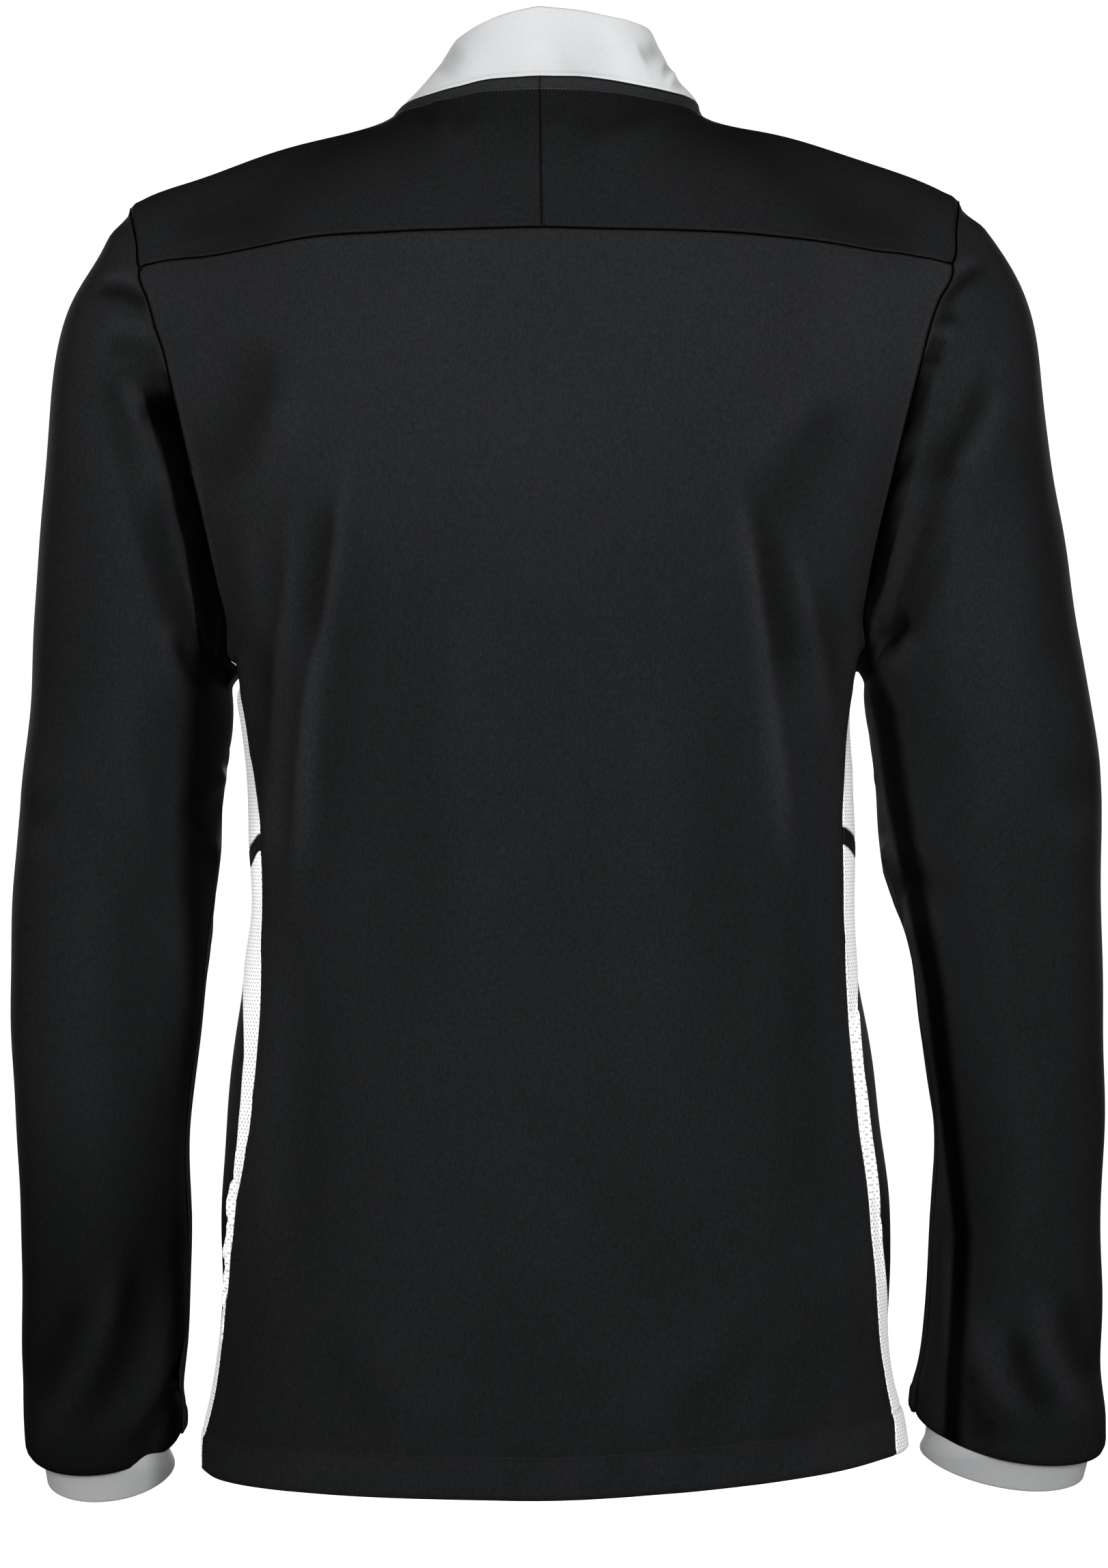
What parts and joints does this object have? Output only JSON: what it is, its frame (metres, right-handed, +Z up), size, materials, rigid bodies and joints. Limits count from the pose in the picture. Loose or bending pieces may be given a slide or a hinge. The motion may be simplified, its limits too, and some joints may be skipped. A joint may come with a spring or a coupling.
{
  "type": "track jacket",
  "caption": "Zipped knit track jacket held open by its wearer's form, with a stand collar, split yoke, mesh side panels and ribbed cuffs inside the sleeve hems.",
  "frame": {"origin": "between the two shoulder-neck points, at their height, where the wearer's shoulders carry the jacket", "axes": "+Z up, -Y the jacket's front with the zip, +X the wearer's left"},
  "size_m": [0.5628, 0.2351, 0.7616],
  "materials": {
    "black_knit": "smooth polyester tricot with a slight sheen",
    "yoke_knit": "smooth polyester tricot, cut across the grain so it looks darker",
    "white_mesh": "perforated mesh knit",
    "light_grey_knit": "soft matte knit",
    "grey_rib": "fine rib knit",
    "zip_tape": "woven tape with moulded teeth",
    "zip_metal": "dark lacquered metal"
  },
  "bodies": {
    "jacket": {"yoke_left": "yoke_knit", "yoke_right": "yoke_knit", "back_panel": "black_knit", "front_left": "black_knit", "front_right": "black_knit", "side_upper_left": "white_mesh", "side_upper_right": "white_mesh", "side_band_left": "black_knit", "side_band_right": "black_knit", "side_lower_left": "white_mesh", "side_lower_right": "white_mesh", "sleeve_left": "black_knit", "sleeve_right": "black_knit", "cuff_left": "grey_rib", "cuff_right": "grey_rib", "collar": "light_grey_knit", "zip_strip": "zip_tape", "zip_slider": "zip_metal"},
    "pull": {"zip_pull": "zip_metal"}
  },
  "joints": [
    {"name": "zip_pull_swing", "type": "hinge", "parent": "jacket", "child": "pull", "pos_m": [0, -0.07778, -0.02807], "axis": [-1, 0, 0], "range_deg": [0, 165]}
  ]
}
